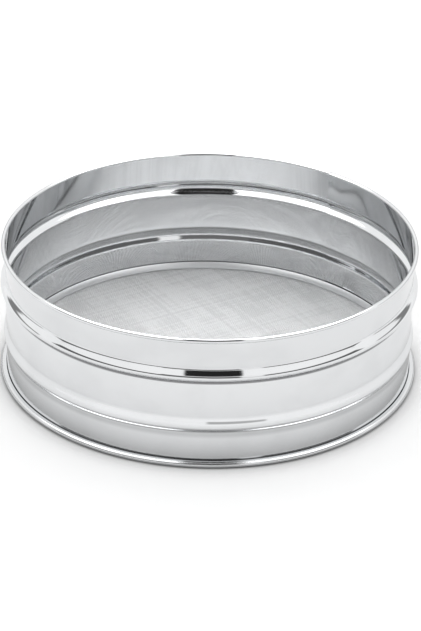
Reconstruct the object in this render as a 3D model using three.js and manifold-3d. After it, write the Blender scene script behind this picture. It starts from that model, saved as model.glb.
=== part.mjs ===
// Drum sieve for flour: a hoop of polished steel sheet with a wired rim and two swaged beads,
// and a floor of woven wire cloth that a crimped foot ring clamps under the hoop.
// Millimetres. The drum's axis is the Z axis and the foot stands on Z = 0.
import * as THREE from 'three';
import { mergeVertices } from 'three/addons/utils/BufferGeometryUtils.js';
import Module from 'manifold-3d';

// Hoop
const rimDiameter = 210; // across the rolled rim
const drumHeight = 70; // from the table to the top of the rim
const hoopSheet = 0.5; // thickness of the steel sheet
const rimRoll = 2.4; // outside diameter of the rolled rim
const upperBeadHeight = 7.1; // along the wall
const upperBeadProjection = 2.4; // how far it stands out of the wall
const upperBeadDrop = 20.7; // from the top of the rim to its middle
const lowerBeadHeight = 7.2; // along the wall
const lowerBeadProjection = 1.2; // how far it stands out of the wall
const lowerBeadRise = 22.1; // from the table to its middle
const flangeWidth = 1.6; // edge turned out at the bottom of the wall
const flangeBend = 0.6; // radius of that bend, on the middle of the sheet
const lapWidth = 8; // overlap of the strip's two ends
const lapDirection = 52.5; // degrees from +X towards +Y

// Foot ring
const footSheet = 0.5; // thickness of its sheet
const footReach = 1.2; // how far its floor runs in past the inside of the wall

// Wire cloth
const clothWire = 0.32; // diameter of one wire
const clothFolds = 2; // layers in the clamped edge
const clothPitch = 12; // spacing of the drawn bars, each for fifteen wires of the real cloth
const barWidth = 1; // of a drawn bar
const barHeight = 0.4; // of a drawn bar

// Inner ring
const ringHeight = 3.4;
const ringWidth = 2.2; // at its foot, on the cloth
const ringEdge = 0.4; // thickness of its top and of its foot

// Gap between pieces that touch
const fit = 0.15;

// Steps of the round forms
const turnSteps = 56; // around the drum
const beadSteps = 8;
const rollSteps = 9;
const bendSteps = 3;
const wireSides = 8;
const lapSteps = 3;

// Radii of the wall
const wallInner = rimDiameter / 2 - rimRoll;
const wallMiddle = wallInner + hoopSheet / 2;
const wallOuter = wallInner + hoopSheet;
const flangeEnd = wallOuter + flangeWidth;

// Heights of the foot's layers, from the table up
const clothThickness = 2 * clothWire;
const clothEdgeBottom = footSheet + fit;
const clothTop = clothEdgeBottom + clothFolds * clothThickness;
const flangeMiddle = clothTop + fit + hoopSheet / 2;
const footHeight = flangeMiddle + hoopSheet / 2 + fit + footSheet;
const ringBottom = clothTop + fit;
const ringTop = ringBottom + ringHeight;
const ringOuter = wallInner - fit;
const ringInner = ringOuter - ringWidth;

// Heights on the wall
const rimRollMiddle = drumHeight - rimRoll / 2;
const upperBead = drumHeight - upperBeadDrop;
const lowerBead = lowerBeadRise;

const wasm = await Module();
wasm.setup();

// Makes a solid of a closed three.js geometry, for joining and cutting.
function solid(geometry) {
  const bare = geometry.clone();
  bare.deleteAttribute('normal');
  bare.deleteAttribute('uv');
  const merged = mergeVertices(bare);
  const vertProperties = new Float32Array(merged.attributes.position.array);
  const triVerts = new Uint32Array(merged.index.array);
  return new wasm.Manifold(new wasm.Mesh({ numProp: 3, vertProperties, triVerts }));
}

// Makes a three.js geometry of a joined or cut solid.
function geometryOf(body) {
  const mesh = body.getMesh();
  const geometry = new THREE.BufferGeometry();
  geometry.setAttribute('position', new THREE.BufferAttribute(mesh.vertProperties, 3));
  geometry.setIndex(new THREE.BufferAttribute(mesh.triVerts, 1));
  geometry.computeVertexNormals();
  return geometry;
}

// Turns a closed section of (radius, height) points around the drum's axis.
function revolve(section) {
  const closed = [...section, section[0]];
  const geometry = new THREE.LatheGeometry(closed, turnSteps);
  geometry.rotateX(Math.PI / 2);
  return geometry;
}

// Points on an arc around (radius, height), with angles in degrees from the outward direction.
function arc(radius, height, size, from, to, steps) {
  const points = [];
  for (let i = 0; i <= steps; i += 1) {
    const angle = THREE.MathUtils.degToRad(from + ((to - from) * i) / steps);
    points.push(new THREE.Vector2(radius + size * Math.cos(angle), height + size * Math.sin(angle)));
  }
  return points;
}

// Gives a path the thickness of a sheet, half of it on each side.
function sheetSection(path, thickness) {
  const right = [];
  const left = [];
  path.forEach((point, i) => {
    const before = path[Math.max(i - 1, 0)];
    const after = path[Math.min(i + 1, path.length - 1)];
    const arriving = point.clone().sub(before).normalize();
    const leaving = after.clone().sub(point).normalize();
    const along = arriving.clone().add(leaving).normalize();
    const side = new THREE.Vector2(along.y, -along.x);
    const reach = thickness / 2 / along.dot(i > 0 ? arriving : leaving);
    right.push(point.clone().addScaledVector(side, reach));
    left.push(point.clone().addScaledVector(side, -reach));
  });
  return [...right, ...left.reverse()];
}

// Path of the sheet through one bead, a smooth swell with level ends.
function beadPath(middle, height, projection) {
  const points = [];
  for (let i = 0; i <= beadSteps; i += 1) {
    const share = i / beadSteps;
    const swell = (projection * (1 - Math.cos(2 * Math.PI * share))) / 2;
    points.push(new THREE.Vector2(wallMiddle + swell, middle + (share - 0.5) * height));
  }
  return points;
}

// A patch of the strip's inner end where it laps over the outer one, between two heights.
function lapPatch(bottom, top) {
  const turn = THREE.MathUtils.degToRad(lapDirection);
  const half = lapWidth / 2 / wallInner;
  const outline = new THREE.Shape();
  outline.absarc(0, 0, wallMiddle, turn - half, turn + half, false);
  outline.absarc(0, 0, wallInner - hoopSheet, turn + half, turn - half, true);
  const depth = top - bottom;
  const patch = new THREE.ExtrudeGeometry(outline, { depth, bevelEnabled: false, curveSegments: lapSteps });
  patch.translate(0, 0, bottom);
  return patch;
}

// The hoop: flange, wall, two beads and the rim rolled three quarters of a turn outwards.
function drumWall() {
  const bendRadius = wallMiddle + flangeBend;
  const bendHeight = flangeMiddle + flangeBend;
  const rollSize = (rimRoll - hoopSheet) / 2;
  const path = [
    new THREE.Vector2(flangeEnd, flangeMiddle),
    ...arc(bendRadius, bendHeight, flangeBend, 270, 180, bendSteps),
    ...beadPath(lowerBead, lowerBeadHeight, lowerBeadProjection),
    ...beadPath(upperBead, upperBeadHeight, upperBeadProjection),
    ...arc(wallMiddle + rollSize, rimRollMiddle, rollSize, 180, -90, rollSteps),
  ];
  const lowerHalf = lowerBeadHeight / 2;
  const upperHalf = upperBeadHeight / 2;
  return geometryOf(
    solid(revolve(sheetSection(path, hoopSheet)))
      .add(solid(lapPatch(ringTop + fit, lowerBead - lowerHalf)))
      .add(solid(lapPatch(lowerBead + lowerHalf, upperBead - upperHalf)))
      .add(solid(lapPatch(upperBead + upperHalf, rimRollMiddle))),
  );
}

// The stiffening wire inside the rolled rim.
function rimWire() {
  const wireRadius = rimRoll / 2 - hoopSheet - fit;
  return revolve(arc(wallInner + rimRoll / 2, rimRollMiddle, wireRadius, 0, 360, wireSides).slice(1));
}

// The channel crimped around the flange and the edge of the cloth.
function footRing() {
  const bendSize = (footHeight - footSheet) / 2;
  const lipEnd = wallOuter + flangeBend + fit;
  const path = [
    new THREE.Vector2(wallInner - footReach, footSheet / 2),
    ...arc(flangeEnd, footHeight / 2, bendSize, -90, 90, rollSteps),
    new THREE.Vector2(lipEnd, footHeight - footSheet / 2),
  ];
  return revolve(sheetSection(path, footSheet));
}

// The wire cloth: bars that cross over one another inside a border of folded cloth.
function sieveCloth() {
  const netMiddle = clothTop - clothThickness / 2;
  const crossing = clothWire / 3;
  const border = solid(revolve([
    new THREE.Vector2(ringInner, clothEdgeBottom),
    new THREE.Vector2(flangeEnd, clothEdgeBottom),
    new THREE.Vector2(flangeEnd, clothTop),
    new THREE.Vector2(ringInner, clothTop),
  ]));
  const seat = (ringInner + ringOuter) / 2;
  const count = Math.floor(ringInner / clothPitch);
  let cloth = border;
  for (let i = -count; i <= count; i += 1) {
    const offset = i * clothPitch;
    const length = 2 * Math.sqrt(seat ** 2 - offset ** 2);
    const warp = new THREE.BoxGeometry(barWidth, length, barHeight);
    warp.translate(offset, 0, netMiddle + crossing);
    const weft = new THREE.BoxGeometry(length, barWidth, barHeight);
    weft.translate(0, offset, netMiddle - crossing);
    cloth = cloth.add(solid(warp)).add(solid(weft));
  }
  return geometryOf(cloth);
}

// The ring inside the drum that covers the corner between the wall and the cloth, with a sloping face.
function innerRing() {
  return revolve([
    new THREE.Vector2(ringInner, ringBottom),
    new THREE.Vector2(ringOuter, ringBottom),
    new THREE.Vector2(ringOuter, ringTop),
    new THREE.Vector2(ringOuter - ringEdge, ringTop),
    new THREE.Vector2(ringInner, ringBottom + ringEdge),
  ]);
}

function steel(colour, roughness) {
  return new THREE.MeshStandardMaterial({ color: colour, roughness, metalness: 1 });
}

const sieve = new THREE.Group();

function addPart(name, geometry, material) {
  const mesh = new THREE.Mesh(geometry, material);
  mesh.name = name;
  sieve.add(mesh);
}

addPart('drum_wall', drumWall(), steel(0xd9dcde, 0.08));
addPart('rim_wire', rimWire(), steel(0xb9bcbf, 0.35));
addPart('sieve_cloth', sieveCloth(), steel(0xc6cacc, 0.3));
addPart('foot_ring', footRing(), steel(0xd9dcde, 0.1));
addPart('inner_ring', innerRing(), steel(0xdcdfe1, 0.12));

export default sieve;
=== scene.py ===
import math

import bmesh
import bpy
from mathutils import Matrix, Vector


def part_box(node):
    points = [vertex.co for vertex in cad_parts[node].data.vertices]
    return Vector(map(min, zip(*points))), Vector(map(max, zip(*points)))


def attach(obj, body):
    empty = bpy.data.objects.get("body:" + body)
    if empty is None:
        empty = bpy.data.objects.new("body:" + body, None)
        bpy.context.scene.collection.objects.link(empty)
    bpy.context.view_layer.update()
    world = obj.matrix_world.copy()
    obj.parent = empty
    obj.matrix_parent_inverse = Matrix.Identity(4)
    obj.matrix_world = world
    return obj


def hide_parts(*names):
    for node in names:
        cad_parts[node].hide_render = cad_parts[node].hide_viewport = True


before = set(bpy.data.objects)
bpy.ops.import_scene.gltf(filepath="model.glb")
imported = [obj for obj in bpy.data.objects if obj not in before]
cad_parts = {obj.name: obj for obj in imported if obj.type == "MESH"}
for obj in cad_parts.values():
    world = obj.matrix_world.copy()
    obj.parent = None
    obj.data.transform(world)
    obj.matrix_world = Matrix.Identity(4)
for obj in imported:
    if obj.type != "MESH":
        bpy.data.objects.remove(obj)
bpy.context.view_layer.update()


# Drum wall: one strip of stainless sheet, bent round and lapped over itself, with two beads swaged
# outwards to stiffen it. The rim is rolled outwards over a wire, the lower edge is turned out for the
# crimp, and the strip is polished bright on both sides.
mm = 0.001
columns = 288
merge_distance = 0.001 * mm
sheet = 0.5 * mm
seat_gap = 0.15 * mm
wall_low, wall_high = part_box("drum_wall")
ring_low, ring_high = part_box("inner_ring")
wall_inside = ring_high.x + seat_gap
wall_middle = wall_inside + sheet / 2
wall_outside = wall_inside + sheet

rim_top = wall_high.z
rim_roll = 2.4 * mm
roll_size = (rim_roll - sheet) / 2
roll_height = rim_top - rim_roll / 2

bead_steps = 40
neck_reach = 1.4 * mm
upper_drop = 21.05 * mm
upper_crest = rim_top - upper_drop
upper_projection = wall_high.x - wall_outside
upper_slopes = (3.2 * mm, 4.4 * mm)
upper_necks = (0.4 * mm, 0.25 * mm)
lower_crest = 21.7 * mm
lower_projection = 1.2 * mm
lower_slopes = (3.5 * mm, 5 * mm)
lower_necks = (0.05 * mm, 0.1 * mm)

flange_bend = 0.6 * mm
flange_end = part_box("sieve_cloth")[1].x
flange_height = wall_low.z + sheet / 2
bend_height = flange_height + flange_bend
lap_clearance = 0.8 * mm
lap_bottom = ring_high.z + lap_clearance
lap_end_run = 0.5 * mm


def arc(radius, height, size, start, stop, steps):
    angles = [math.radians(start + (stop - start) * i / steps) for i in range(steps + 1)]
    return [(radius + size * math.cos(a), height + size * math.sin(a)) for a in angles]


def hump(distance, reach):
    return 0.5 + 0.5 * math.cos(math.pi * min(abs(distance) / reach, 1))


# A bead has a slope below and one above its crest, and a shallow neck where each slope ends.
def bead(crest, projection, slopes, necks):
    length = sum(slopes) + 2 * neck_reach
    points = []
    for i in range(bead_steps + 1):
        level = length * i / bead_steps - slopes[0] - neck_reach
        side = 0 if level < 0 else 1
        swell = projection * hump(level, slopes[side])
        neck = necks[side] * max(1 - abs(abs(level) - slopes[side]) / neck_reach, 0)
        points.append((wall_middle + swell - neck, crest + level))
    return points


# A path of (radius, height) points, extruded ring by ring around the drum's axis.
def turned(name, path):
    bpy.ops.object.select_all(action="DESELECT")
    radius, height = path[0]
    bpy.ops.mesh.primitive_circle_add(vertices=columns, radius=radius, location=(0, 0, height))
    piece = bpy.context.object
    piece.name = name
    bpy.ops.object.transform_apply(location=True, rotation=True, scale=True)
    bpy.ops.object.mode_set(mode="EDIT")
    bpy.ops.mesh.select_all(action="SELECT")
    for (radius, height), (next_radius, next_height) in zip(path, path[1:]):
        grow = next_radius / radius
        bpy.ops.mesh.extrude_region_move(TRANSFORM_OT_translate={"value": (0, 0, next_height - height)})
        bpy.ops.transform.resize(value=(grow, grow, 1), center_override=(0, 0, 0))
    bpy.ops.mesh.select_all(action="SELECT")
    bpy.ops.mesh.remove_doubles(threshold=merge_distance)
    bpy.ops.mesh.normals_make_consistent(inside=False)
    bpy.ops.object.mode_set(mode="OBJECT")
    return piece


def give_thickness(piece, thickness):
    solidify = piece.modifiers.new("sheet", "SOLIDIFY")
    solidify.thickness = thickness
    solidify.offset = 0
    solidify.use_even_offset = True
    bpy.ops.object.modifier_apply(modifier=solidify.name)


def smooth(piece, angle=40):
    bpy.ops.object.select_all(action="DESELECT")
    piece.select_set(True)
    bpy.context.view_layer.objects.active = piece
    bpy.ops.object.shade_smooth_by_angle(angle=math.radians(angle))


wall_path = [(flange_end, flange_height)]
wall_path += arc(wall_middle + flange_bend, bend_height, flange_bend, start=270, stop=180, steps=8)
wall_path += [(wall_middle, lap_bottom - lap_end_run), (wall_middle, lap_bottom)]
wall_path += bead(lower_crest, lower_projection, lower_slopes, lower_necks)
wall_path += bead(upper_crest, upper_projection, upper_slopes, upper_necks)
wall_path += arc(wall_middle + roll_size, roll_height, roll_size, start=180, stop=-105, steps=30)
wall = turned("drum_wall_sheet", wall_path)
give_thickness(wall, sheet)


# Lap of the strip: the inner end overlaps the outer end and is spot welded to it. It steps in by one
# sheet at its edge, and past the weld the strip runs back out to the drum's line.
lap_edge = math.radians(52.5)
lap_width = 8 * mm
lap_joggle = 22 * mm
lap_cut = 0.12 * mm
cut_margin = 3 * mm
roll_margin = 0.2 * mm
height_slack = 0.01 * mm


def past_lap(point):
    turn = lap_edge - math.atan2(point.y, point.x)
    return turn * wall_inside


def select_lap_faces(shape):
    for face in shape.faces:
        distance = past_lap(face.calc_center_median())
        face.select_set(-cut_margin < distance < lap_width + cut_margin)


bpy.ops.object.mode_set(mode="EDIT")
for cut in (0, lap_cut, lap_width, lap_width + lap_cut):
    turn = lap_edge - cut / wall_inside
    shape = bmesh.from_edit_mesh(wall.data)
    bpy.ops.mesh.select_all(action="DESELECT")
    select_lap_faces(shape)
    bmesh.update_edit_mesh(wall.data)
    bpy.ops.mesh.bisect(plane_co=(0, 0, 0), plane_no=(-math.sin(turn), math.cos(turn), 0))

shape = bmesh.from_edit_mesh(wall.data)
shape.normal_update()
lap_steps = {}
for vertex in shape.verts:
    distance = past_lap(vertex.co)
    radius = math.hypot(vertex.co.x, vertex.co.y)
    in_roll = vertex.co.z > rim_top - rim_roll - roll_margin
    on_far_side = in_roll and radius > wall_middle + roll_size
    in_reach = lap_cut / 2 < distance < lap_width + lap_joggle
    if vertex.co.z < lap_bottom - height_slack or on_far_side or not in_reach:
        continue
    facing = (vertex.normal.x * vertex.co.x + vertex.normal.y * vertex.co.y) / radius
    if facing > 0 and distance < lap_width + lap_cut / 2:
        continue
    fade = abs(facing) if in_roll else 1
    step = round(fade * hump(max(distance - lap_width - lap_cut, 0), lap_joggle), 3)
    lap_steps.setdefault(step, []).append(vertex.index)
for step, members in lap_steps.items():
    shape = bmesh.from_edit_mesh(wall.data)
    shape.verts.ensure_lookup_table()
    bpy.ops.mesh.select_all(action="DESELECT")
    for index in members:
        shape.verts[index].select_set(True)
    bmesh.update_edit_mesh(wall.data)
    shrink = 1 - step * sheet / wall_inside
    bpy.ops.transform.resize(value=(shrink, shrink, 1), center_override=(0, 0, 0))
bpy.ops.object.mode_set(mode="OBJECT")
smooth(wall)


# Finish of the polished sheet, shared by the wall and both rings: faint rolling lines along the strip,
# a thin film left by wiping, a few hairline scratches and the slow waves of sheet metal. Dark lines of
# painted shade lie in the creases of the wall and along the foot. Depths are in millimetres.
bright_steel = (0.80, 0.81, 0.82, 1)
filmed_steel = (0.765, 0.775, 0.785, 1)
# The grey of the painted shade in the creases and along the foot.
painted_shade_grey = (0.1, 0.1, 0.105, 1)
polish_roughness = 0.045
film_roughness = 0.03
hairline_roughness = 0.05
rolling_line_depth = 0.0012
hairline_depth = 0.0006
side_blend = 10 * mm
outside = 1
inside = -1


def node(tree, kind, **settings):
    made = tree.nodes.new(kind)
    for key, value in settings.items():
        setattr(made, key, value)
    return made


def feed(tree, socket, value):
    if isinstance(value, bpy.types.NodeSocket):
        tree.links.new(value, socket)
    else:
        socket.default_value = value


def math_node(tree, operation, first, second=0):
    made = node(tree, "ShaderNodeMath", operation=operation)
    feed(tree, made.inputs[0], first)
    feed(tree, made.inputs[1], second)
    return made.outputs[0]


def mix(tree, data_type, factor, first, second):
    made = node(tree, "ShaderNodeMix", data_type=data_type)
    feed(tree, made.inputs["Factor"], factor)
    feed(tree, made.inputs["A"], first)
    feed(tree, made.inputs["B"], second)
    return made.outputs["Result"]


def ramp(tree, value, low, high, bottom=0, top=1):
    made = node(tree, "ShaderNodeMapRange", interpolation_type="SMOOTHSTEP")
    feed(tree, made.inputs["Value"], value)
    feed(tree, made.inputs["From Min"], low)
    feed(tree, made.inputs["From Max"], high)
    feed(tree, made.inputs["To Min"], bottom)
    feed(tree, made.inputs["To Max"], top)
    return made.outputs["Result"]


def stretched_noise(tree, vector, scale, turn=(0, 0, 0), detail=3):
    mapping = node(tree, "ShaderNodeMapping")
    mapping.inputs["Scale"].default_value = scale
    mapping.inputs["Rotation"].default_value = turn
    noise = node(tree, "ShaderNodeTexNoise")
    noise.inputs["Scale"].default_value = 1
    noise.inputs["Detail"].default_value = detail
    tree.links.new(vector, mapping.inputs["Vector"])
    tree.links.new(mapping.outputs["Vector"], noise.inputs["Vector"])
    return noise.outputs["Fac"]


def node_group(name, inputs, outputs):
    group = bpy.data.node_groups.new(name, "ShaderNodeTree")
    for socket, kind in inputs.items():
        group.interface.new_socket(socket, in_out="INPUT", socket_type=f"NodeSocket{kind}")
    for socket, kind in outputs.items():
        group.interface.new_socket(socket, in_out="OUTPUT", socket_type=f"NodeSocket{kind}")
    return group, node(group, "NodeGroupInput").outputs, node(group, "NodeGroupOutput").inputs


def place_group(tree, group, **values):
    made = node(tree, "ShaderNodeGroup", node_tree=group)
    for name, value in values.items():
        feed(tree, made.inputs[name], value)
    return made.outputs


polish, given, out = node_group(
    "polished_sheet_marks",
    {"Vector": "Vector", "Film": "Float", "Waves": "Float", "Dulled": "Float", "Greyed": "Float"},
    {"Tint": "Color", "Roughness": "Float", "Height": "Float"},
)
film_mask = ramp(polish, stretched_noise(polish, given["Vector"], (38, 38, 55)), low=0.42, high=0.7)
film_mask = math_node(polish, "MULTIPLY", film_mask, given["Film"])
rolling_lines = stretched_noise(polish, given["Vector"], (9, 9, 1500), detail=4)
hairs = stretched_noise(polish, given["Vector"], (1900, 1900, 45), turn=(0.9, 0.5, 0.3))
hairs = ramp(polish, hairs, low=0.68, high=0.74)
slow_waves = stretched_noise(polish, given["Vector"], (26, 26, 34), detail=1)
greying = node(polish, "ShaderNodeVectorMath", operation="SCALE")
feed(polish, greying.inputs[0], mix(polish, "RGBA", film_mask, bright_steel, filmed_steel))
feed(polish, greying.inputs["Scale"], math_node(polish, "SUBTRACT", 1, given["Greyed"]))
feed(polish, out["Tint"], greying.outputs["Vector"])
rough = math_node(polish, "MULTIPLY", film_mask, film_roughness)
rough = math_node(polish, "ADD", rough, polish_roughness)
rough = math_node(polish, "ADD", rough, math_node(polish, "MULTIPLY", hairs, hairline_roughness))
feed(polish, out["Roughness"], math_node(polish, "ADD", rough, given["Dulled"]))
height = math_node(polish, "MULTIPLY", slow_waves, given["Waves"])
line_height = math_node(polish, "MULTIPLY", rolling_lines, rolling_line_depth)
height = math_node(polish, "ADD", height, line_height)
height = math_node(polish, "SUBTRACT", height, math_node(polish, "MULTIPLY", hairs, hairline_depth))
feed(polish, out["Height"], height)

# Painted shade: a dark line around the drum at one height, on one side of the sheet.
crease_shade, given, out = node_group(
    "painted_crease_shade",
    {
        "Vector": "Vector", "Normal": "Vector", "Side": "Float",
        "Level": "Float", "Width": "Float", "Amount": "Float",
    },
    {"PaintedShade": "Float"},
)
position = node(crease_shade, "ShaderNodeSeparateXYZ")
feed(crease_shade, position.inputs["Vector"], given["Vector"])
across = node(crease_shade, "ShaderNodeVectorMath", operation="MULTIPLY")
feed(crease_shade, across.inputs[0], given["Vector"])
feed(crease_shade, across.inputs[1], (1, 1, 0))
outward = node(crease_shade, "ShaderNodeVectorMath", operation="DOT_PRODUCT")
feed(crease_shade, outward.inputs[0], across.outputs["Vector"])
feed(crease_shade, outward.inputs[1], given["Normal"])
facing = math_node(crease_shade, "MULTIPLY", outward.outputs["Value"], given["Side"])
facing = ramp(crease_shade, facing, low=-side_blend, high=side_blend)
distance = math_node(crease_shade, "SUBTRACT", position.outputs["Z"], given["Level"])
distance = math_node(crease_shade, "ABSOLUTE", distance)
line = ramp(crease_shade, distance, low=0, high=given["Width"], bottom=given["Amount"], top=0)
feed(crease_shade, out["PaintedShade"], math_node(crease_shade, "MULTIPLY", line, facing))


def metal(name):
    material = bpy.data.materials.new(name)
    material.use_nodes = True
    shader = material.node_tree.nodes["Principled BSDF"]
    shader.inputs["Metallic"].default_value = 1
    return material, material.node_tree, shader.inputs


def polished_steel(name, film, waves, dulled, greyed, shade_lines=()):
    material, tree, surface = metal(name)
    vector = node(tree, "ShaderNodeTexCoord").outputs["Object"]
    marks = place_group(tree, polish, Vector=vector, Film=film, Waves=waves, Dulled=dulled, Greyed=greyed)
    colour = marks["Tint"]
    if shade_lines:
        normal = node(tree, "ShaderNodeNewGeometry").outputs["Normal"]
        painted_shade = 0
        for side, level, width, amount in shade_lines:
            crease_shading = place_group(
                tree, crease_shade, Vector=vector, Normal=normal,
                Side=side, Level=level, Width=width, Amount=amount,
            )
            painted_shade = math_node(tree, "MAXIMUM", crease_shading["PaintedShade"], painted_shade)
        # The painted shade darkens the steel's colour along each line.
        colour = mix(tree, "RGBA", painted_shade, colour, painted_shade_grey)
    bump = node(tree, "ShaderNodeBump")
    feed(tree, bump.inputs["Distance"], mm)
    feed(tree, bump.inputs["Height"], marks["Height"])
    feed(tree, surface["Base Color"], colour)
    feed(tree, surface["Roughness"], marks["Roughness"])
    feed(tree, surface["Normal"], bump.outputs["Normal"])
    return material


# Each line of painted shade has its side of the sheet, its height, its half width and how dark it is.
foot_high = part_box("foot_ring")[1]
wall_shade_lines = [
    (outside, upper_crest - 3.45 * mm, 0.9 * mm, 0.85),
    (outside, lower_crest - 4.4 * mm, 2.6 * mm, 0.28),
    (outside, foot_high.z, 0.9 * mm, 0.95),
    (inside, upper_crest + 4.6 * mm, 0.6 * mm, 0.55),
    (inside, upper_crest - 3.3 * mm, 0.4 * mm, 0.4),
    (inside, lower_crest + 3.9 * mm, 0.7 * mm, 0.35),
    (inside, ring_high.z, 0.7 * mm, 0.6),
]
wall.data.materials.append(
    polished_steel("polished_wall", film=1, waves=0.05, dulled=0, greyed=0, shade_lines=wall_shade_lines)
)
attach(wall, "root")
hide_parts("drum_wall")


# Rim wire: a hoop of bright drawn wire inside the rolled rim, which keeps the rim round. Only a sliver
# of it shows, in the slit under the roll.
rim_wire_bright = (0.62, 0.63, 0.64, 1)
rim_wire_dull = (0.5, 0.5, 0.5, 1)
rim_wire_low, rim_wire_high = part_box("rim_wire")
rim_wire_size = (rim_wire_high.z - rim_wire_low.z) / 2
rim_wire_height = (rim_wire_low.z + rim_wire_high.z) / 2
rim_wire_path = arc(wall_inside + rim_roll / 2, rim_wire_height, rim_wire_size, start=0, stop=360, steps=12)
rim_wire_path[-1] = rim_wire_path[0]
rim_wire = turned("rim_wire_hoop", rim_wire_path)
smooth(rim_wire, angle=60)

wire_marks, given, out = node_group(
    "drawn_wire_marks", {"Vector": "Vector"}, {"Patches": "Float", "Grain": "Float"}
)
feed(wire_marks, out["Patches"], stretched_noise(wire_marks, given["Vector"], (60, 60, 60)))
feed(wire_marks, out["Grain"], stretched_noise(wire_marks, given["Vector"], (900, 900, 900), detail=2))


# Drawn wire is dull in patches. In woven cloth it also differs from strand to strand, along each turn.
def drawn_wire(name, bright, dull, smoothest, roughest, strand_turns=()):
    material, tree, surface = metal(name)
    vector = node(tree, "ShaderNodeTexCoord").outputs["Object"]
    marks = place_group(tree, wire_marks, Vector=vector)
    patches = marks["Patches"]
    for turn in strand_turns:
        along = node(tree, "ShaderNodeVectorRotate", rotation_type="Z_AXIS")
        feed(tree, along.inputs["Angle"], -turn)
        feed(tree, along.inputs["Vector"], vector)
        strands = stretched_noise(tree, along.outputs["Vector"], (9, 480, 1), detail=2)
        patches = math_node(tree, "ADD", patches, math_node(tree, "SUBTRACT", strands, 0.5))
    dulling = ramp(tree, patches, low=0.35, high=0.7)
    roughness = ramp(tree, marks["Grain"], low=0.3, high=0.7, bottom=smoothest, top=roughest)
    feed(tree, surface["Base Color"], mix(tree, "RGBA", dulling, bright, dull))
    feed(tree, surface["Roughness"], roughness)
    return material


rim_wire.data.materials.append(
    drawn_wire("bright_drawn_wire", rim_wire_bright, rim_wire_dull, smoothest=0.22, roughest=0.34)
)
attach(rim_wire, "root")
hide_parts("rim_wire")


# Inner ring: a narrow ring of polished steel, wedge-shaped in section, that lies on the cloth's edge,
# covers the corner of the drum and is spot welded to the wall. Its sloping face is slightly crowned and
# its edges are rounded.
ring_width = 2.2 * mm
ring_edge = 1 * mm
ring_top = 0.4 * mm
ring_setback = 0.3 * mm
ring_crown = 0.12 * mm
ring_round = 0.12 * mm
ring_steps = 16
ring_foot = ring_high.x - ring_width
ring_back = ring_high.x - ring_setback
face_run = ring_back - ring_top - ring_foot
face_rise = ring_high.z - ring_low.z - ring_edge
face_length = math.hypot(face_run, face_rise)
ring_path = [
    (ring_back, ring_low.z),
    (ring_foot + ring_round, ring_low.z),
    (ring_foot, ring_low.z + ring_round),
]
for i in range(ring_steps + 1):
    share = i / ring_steps
    crown = ring_crown * (1 - (2 * share - 1) ** 2) / face_length
    radius = ring_foot + share * face_run - crown * face_rise
    ring_path.append((radius, ring_low.z + ring_edge + share * face_rise + crown * face_run))
ring_path += [
    (ring_back - ring_round, ring_high.z),
    (ring_back, ring_high.z - ring_round),
    (ring_back, ring_low.z),
]
ring = turned("inner_ring_wedge", ring_path)
smooth(ring)
ring.data.materials.append(polished_steel("polished_ring", film=0.6, waves=0.02, dulled=0.36, greyed=0))
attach(ring, "root")
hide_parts("inner_ring")


# Sieve cloth: plain-woven stainless wire, each wire passing over one crossing wire and under the next.
# The disc is cut from the roll, its edge is folded once and the fold is clamped in the foot ring.
cloth_bright = (0.99, 0.995, 1, 1)
cloth_dull = (0.915, 0.92, 0.925, 1)
cloth_low, cloth_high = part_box("sieve_cloth")
wire = 0.32 * mm
pitch = 0.8 * mm
weft_turn = math.radians(32)
warp_turn = weft_turn + math.pi / 2
fold_width = 0.9 * mm
cloth_level = cloth_high.z - wire
cloth_cut = flange_end - fold_width
half_count = int(cloth_cut / pitch) + 1
bands = ("left", "middle", "right")
pairs = math.ceil((2 * half_count + 1) / 2 / len(bands))
hem_reach = 1.2 * mm
hem_bend = 0.3 * mm
hem_edge = 0.1 * mm


def woven_band(name, first_row, first_side, turn):
    bpy.ops.object.select_all(action="DESELECT")
    bpy.ops.mesh.primitive_circle_add(
        vertices=4, radius=wire / 2, rotation=(0, math.pi / 2, 0),
        location=(-half_count * pitch, first_row * pitch, cloth_level + first_side * wire / 2),
    )
    piece = bpy.context.object
    piece.name = name
    bpy.ops.object.transform_apply(location=True, rotation=True, scale=True)
    bpy.ops.object.mode_set(mode="EDIT")
    bpy.ops.mesh.select_all(action="SELECT")
    side = first_side
    for crossing in range(2 * half_count):
        side = -side
        bpy.ops.mesh.extrude_region_move(TRANSFORM_OT_translate={"value": (pitch, 0, side * wire)})
    bpy.ops.mesh.select_all(action="SELECT")
    bpy.ops.mesh.normals_make_consistent(inside=False)
    bpy.ops.mesh.duplicate_move(TRANSFORM_OT_translate={"value": (0, pitch, 0)})
    bpy.ops.transform.resize(value=(1, 1, -1), center_override=(0, 0, cloth_level))
    bpy.ops.mesh.flip_normals()
    bpy.ops.object.mode_set(mode="OBJECT")
    rows = piece.modifiers.new("rows", "ARRAY")
    rows.count = pairs
    rows.use_relative_offset = False
    rows.use_constant_offset = True
    rows.constant_offset_displace = (0, 2 * pitch, 0)
    bpy.ops.object.modifier_apply(modifier=rows.name)
    bpy.ops.object.mode_set(mode="EDIT")
    shape = bmesh.from_edit_mesh(piece.data)
    bpy.ops.mesh.select_all(action="DESELECT")
    for vertex in shape.verts:
        row = round(vertex.co.y / pitch)
        vertex.select_set(math.hypot(vertex.co.x, row * pitch) > cloth_cut)
    bmesh.update_edit_mesh(piece.data)
    bpy.ops.mesh.delete(type="VERT")
    bpy.ops.mesh.select_all(action="SELECT")
    bpy.ops.mesh.fill_holes(sides=4)
    bpy.ops.mesh.select_all(action="SELECT")
    bpy.ops.transform.rotate(value=turn, orient_axis="Z", center_override=(0, 0, 0))
    bpy.ops.object.mode_set(mode="OBJECT")
    return piece


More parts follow.
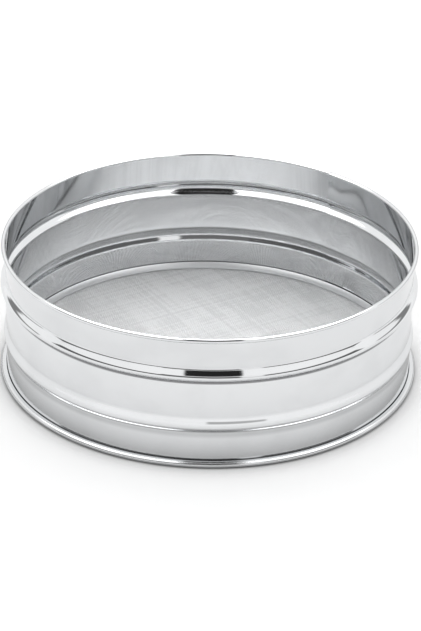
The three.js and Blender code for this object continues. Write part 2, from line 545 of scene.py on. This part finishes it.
cloth = []
for count, band in enumerate(bands):
    first_row = 2 * pairs * count - half_count
    cloth.append(woven_band(f"cloth_weft_{band}", first_row, first_side=1, turn=weft_turn))
    cloth.append(woven_band(f"cloth_warp_{band}", first_row, first_side=-1, turn=warp_turn))
hem_path = [
    (ring_high.x - hem_reach, cloth_low.z + wire),
    (flange_end - hem_bend, cloth_low.z + wire / 2),
    (flange_end - hem_edge, (cloth_low.z + cloth_high.z) / 2),
    (flange_end - hem_bend, cloth_high.z - wire / 2),
    (wall_inside, cloth_high.z - wire),
]
hem = turned("cloth_folded_edge", hem_path)
give_thickness(hem, wire)
cloth_steel = drawn_wire(
    "cloth_wire", cloth_bright, cloth_dull,
    smoothest=0.62, roughest=0.78, strand_turns=(weft_turn, warp_turn),
)
for piece in cloth + [hem]:
    smooth(piece, angle=95)
    piece.data.materials.append(cloth_steel)
    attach(piece, "root")
    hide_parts("sieve_cloth")


# Foot ring: a channel of polished sheet crimped over the wall's turned-out edge and the folded edge of
# the cloth. Its flat floor stands on the table and its lip closes on the wall.
foot_sheet = 0.5 * mm
foot_reach = 1.2 * mm
foot_slack = 0.004 * mm
lip_gap = 0.45 * mm
foot_middle = foot_high.z / 2
foot_bend = foot_middle - foot_sheet / 2
foot_curve = foot_high.x - foot_middle - foot_slack
foot_path = [(wall_inside - foot_reach, foot_sheet / 2)]
foot_path += arc(foot_curve, foot_middle, foot_bend, start=-90, stop=90, steps=20)
foot_path += [(wall_outside + lip_gap, foot_high.z - foot_sheet / 2)]
foot = turned("foot_ring_channel", foot_path)
give_thickness(foot, foot_sheet)
smooth(foot)
# A line of painted shade darkens the foot along the table.
foot_shade_lines = [(outside, 0, 1.2 * mm, 0.7)]
foot.data.materials.append(
    polished_steel("polished_foot", film=0.8, waves=0.02, dulled=0.1, greyed=0.1, shade_lines=foot_shade_lines)
)
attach(foot, "root")
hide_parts("foot_ring")


# Studio: a wide white floor under an even white sky, with a painted shadow that darkens the floor near the
# drum. In the polished steel the sky has other tones: a bright ceiling with lights at the sides and the
# back, a dark room near the horizon with a light gap at the right, and the dark stand of the camera in the
# middle.
floor_size = 12
floor_drop = 0.02 * mm
bpy.ops.object.select_all(action="DESELECT")
bpy.ops.mesh.primitive_plane_add(size=floor_size, location=(0, 0, -floor_drop))
floor = bpy.context.object
floor.name = "studio_floor"
white = bpy.data.materials.new("white_floor")
white.use_nodes = True
paper = white.node_tree
paper_shader = node(paper, "ShaderNodeBsdfDiffuse")


# Painted shadow: the floor's colour darkens near the drum, where its ambient occlusion is low.
def floor_tone_with_painted_shadow(tone, distance, open_from, shaded):
    nearness = node(paper, "ShaderNodeAmbientOcclusion", samples=16)
    feed(paper, nearness.inputs["Distance"], distance)
    return ramp(paper, nearness.outputs["AO"], low=0.4, high=open_from, bottom=tone * shaded, top=tone)


# The steel mirrors a wider, darker painted shadow than the camera sees.
mirrored_floor = floor_tone_with_painted_shadow(tone=0.98, distance=60 * mm, open_from=0.86, shaded=0.3)
seen_floor = floor_tone_with_painted_shadow(tone=1.12, distance=18 * mm, open_from=1, shaded=0.6)
seen = node(paper, "ShaderNodeLightPath").outputs["Is Camera Ray"]
feed(paper, paper_shader.inputs["Color"], mix(paper, "FLOAT", seen, mirrored_floor, seen_floor))
feed(paper, paper.nodes["Material Output"].inputs["Surface"], paper_shader.outputs["BSDF"])
floor.data.materials.append(white)

even_tone = 1
upper_wall_tone = 1.05
ceiling_tone = 3
ceiling_from = 53
ceiling_full = 76
patch_fade = 0.025
out_of_reach = 9
world = bpy.data.worlds.new("studio_sky")
bpy.context.scene.world = world
world.use_nodes = True
sky = world.node_tree
direction = node(sky, "ShaderNodeSeparateXYZ")
feed(sky, direction.inputs["Vector"], node(sky, "ShaderNodeTexCoord").outputs["Generated"])
rise = direction.outputs["Z"]
frontward = math_node(sky, "MULTIPLY", direction.outputs["Y"], -1)
bearing = math_node(sky, "ARCTAN2", direction.outputs["X"], frontward)
around = math_node(sky, "ABSOLUTE", bearing)

# The stand narrows upwards, and it stands only in front, so the back of the sky is put out of its reach.
at_back = math_node(sky, "GREATER_THAN", direction.outputs["Y"], 0)
spread = math_node(sky, "MULTIPLY", direction.outputs["X"], math_node(sky, "ADD", rise, 1))
spread = math_node(sky, "ADD", spread, math_node(sky, "MULTIPLY", at_back, out_of_reach))


def rise_at(degrees):
    return math.sin(math.radians(degrees))


def sky_patch(under, across, left, right, bottom, top, tone):
    patch = ramp(sky, across, left - patch_fade, left + patch_fade)
    edges = ((across, right, 1, 0), (rise, rise_at(bottom), 0, 1), (rise, rise_at(top), 1, 0))
    for value, edge, start, stop in edges:
        border = ramp(sky, value, edge - patch_fade, edge + patch_fade, start, stop)
        patch = math_node(sky, "MULTIPLY", patch, border)
    return mix(sky, "FLOAT", patch, under, tone)


mirrored = ramp(
    sky, rise, rise_at(ceiling_from), rise_at(ceiling_full), bottom=upper_wall_tone, top=ceiling_tone
)

# Each patch has the measure that its left and right edges lie on, an angle in radians from the front or
# the stand's width, then its bottom and top in degrees above the horizon, and its tone.
sky_patches = [
    (around, 1.75, 4, 46, 75, 3.2),  # lights at the back
    (around, 1.1, 1.75, 47, 75, 2.6),  # lights at the sides
    (around, -1, 0.45, 12, 36, 0.16),  # room in front
    (around, 1.72, 4, 6, 14, 0.25),  # room at the back
    (bearing, -1.55, -0.4, 12, 29, 0.1),  # room at the left
    (bearing, 0.4, 1.55, 12, 29, 0.12),  # room at the right
    (bearing, 0.31, 0.52, 14, 36, 1),  # light gap
    (bearing, 0, 0.54, 8, 13, 0.5),  # half-light under the gap
    (spread, -0.3, 0.44, 40, 90, 0.02),  # camera stand
]
for patch in sky_patches:
    mirrored = sky_patch(mirrored, *patch)
glossy = node(sky, "ShaderNodeLightPath").outputs["Is Glossy Ray"]
feed(sky, sky.nodes["Background"].inputs["Color"], mix(sky, "FLOAT", glossy, even_tone, mirrored))


# Camera: a long lens above the front, as in the photograph, aimed below the rim's middle and turned
# a little about its own axis.
image_height = 631
focal_pixels = 2714.1
rim_radius = wall_inside + rim_roll
camera_distance = 13 * rim_radius
camera_rise = math.radians(26.672)
aim_down = math.radians(1.595)
aim_right = math.radians(0.0425)
camera_roll = math.radians(1.009)
lens = bpy.data.cameras.new("camera")
lens.sensor_width = 36
lens.lens = focal_pixels / image_height * lens.sensor_width
camera = bpy.data.objects.new("camera", lens)
bpy.context.scene.collection.objects.link(camera)
camera.location = (
    0,
    -camera_distance * math.cos(camera_rise),
    rim_top + camera_distance * math.sin(camera_rise),
)
pitch_turn = Matrix.Rotation(math.pi / 2 - camera_rise - aim_down, 3, "X")
camera.rotation_euler = (
    Matrix.Rotation(-aim_right, 3, "Z") @ pitch_turn @ Matrix.Rotation(camera_roll, 3, "Z")
).to_euler()
bpy.context.scene.camera = camera
bpy.context.scene.view_settings.view_transform = "Standard"
